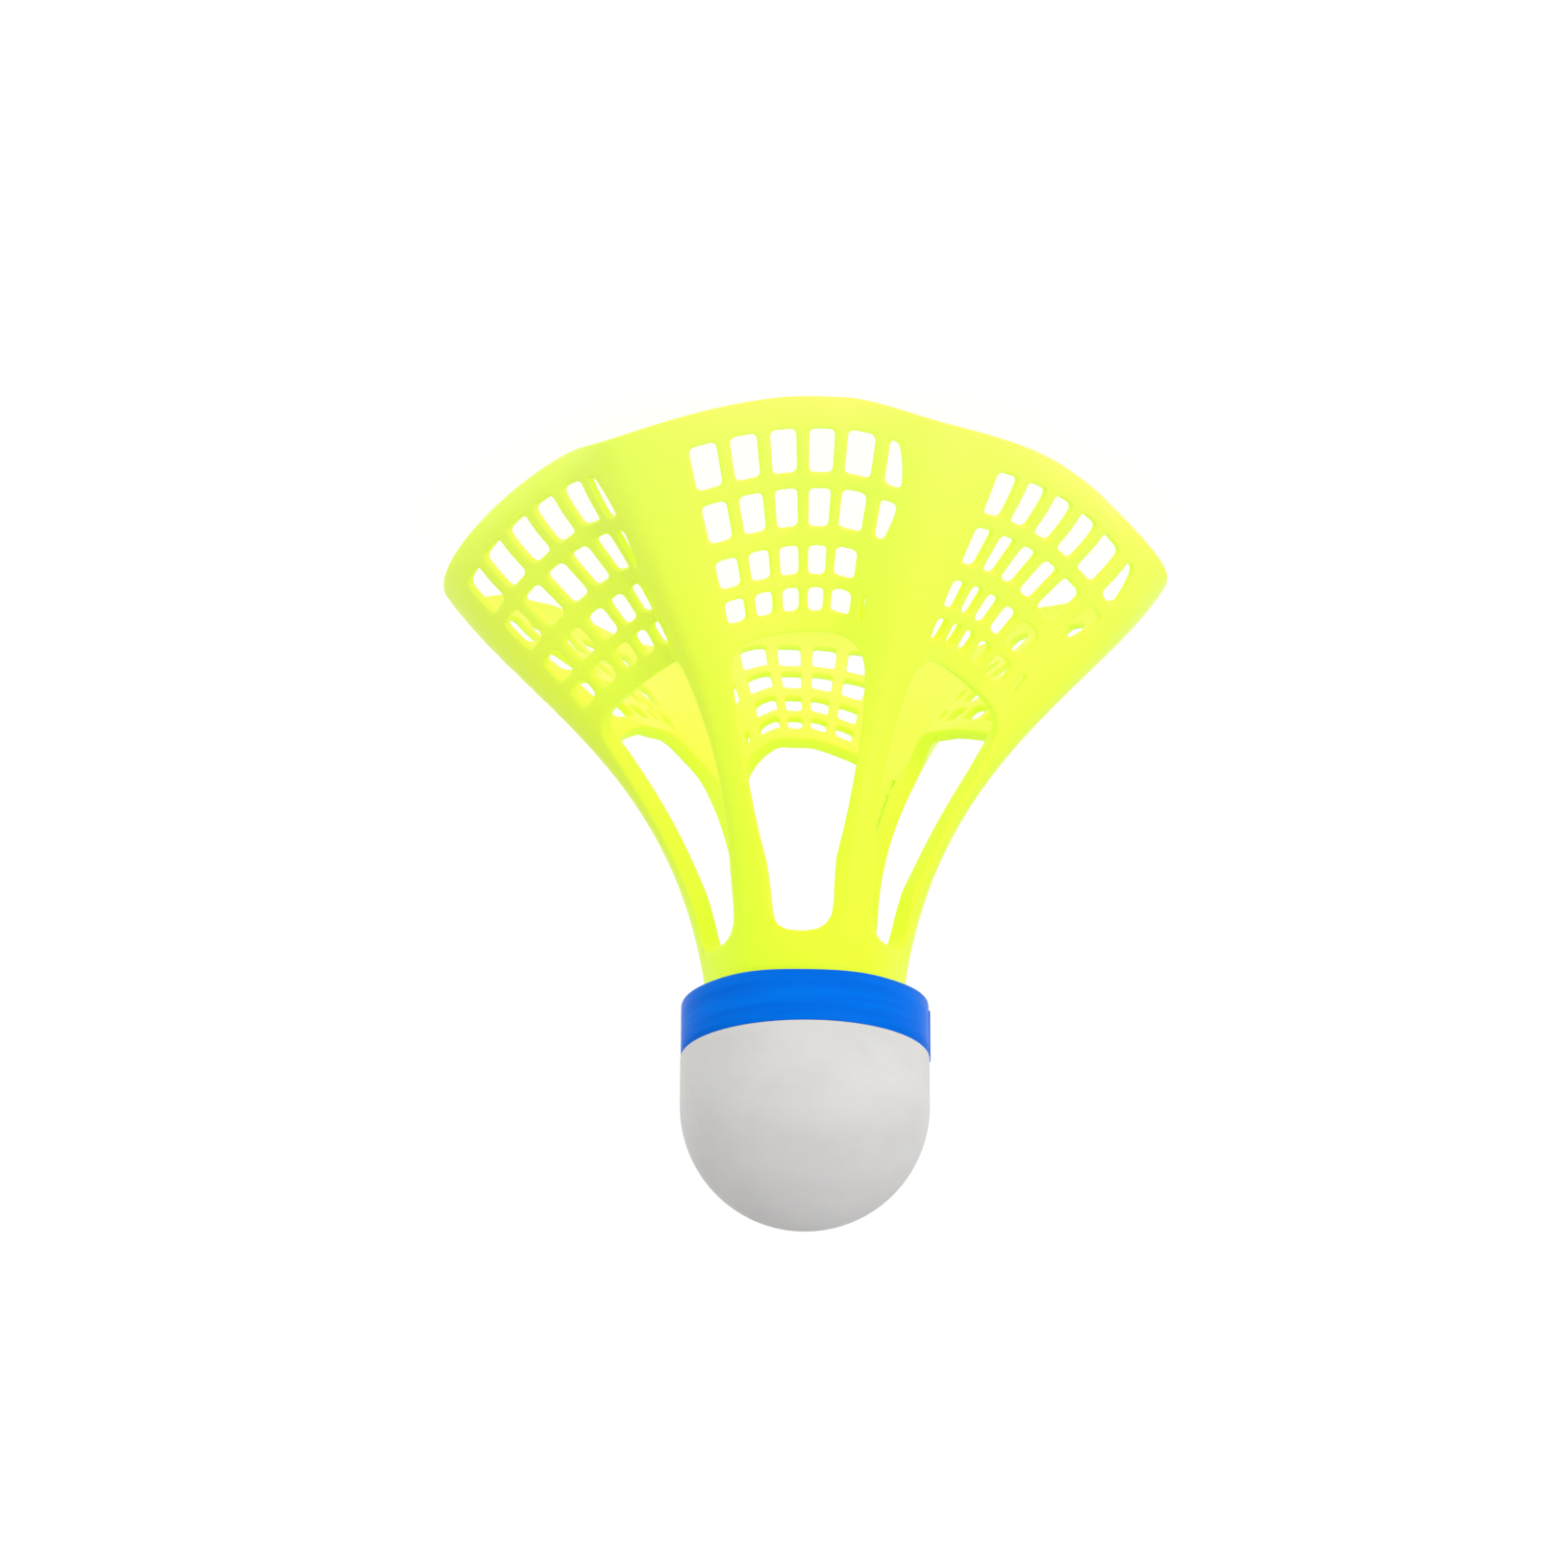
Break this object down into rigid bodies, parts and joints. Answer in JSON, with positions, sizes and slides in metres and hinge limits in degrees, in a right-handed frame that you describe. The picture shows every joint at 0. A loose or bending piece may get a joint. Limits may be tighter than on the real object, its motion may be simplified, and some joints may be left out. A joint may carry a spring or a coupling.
{
  "type": "badminton shuttlecock",
  "caption": "Plastic badminton shuttlecock with a round foam head and a fluted skirt that has tall windows and mesh panels.",
  "frame": {"origin": "on the shuttlecock's own axis, in the plane the skirt's rim stands on", "axes": "+Z along the axis from the skirt's rim to the head; -Y is the front, and faces a window and a mesh panel"},
  "size_m": [0.075, 0.0598, 0.077],
  "materials": {
    "skirt_plastic": "soft fluorescent yellow-green plastic, slightly translucent, smooth",
    "head_foam": "pale closed-cell foam",
    "head_skin": "pale grey satin skin, faintly mottled",
    "band_tape": "glossy blue tape"
  },
  "bodies": {
    "root": {"skirt": "skirt_plastic", "head_core": "head_foam", "head_skin": "head_skin", "head_band": "band_tape"}
  },
  "joints": []
}
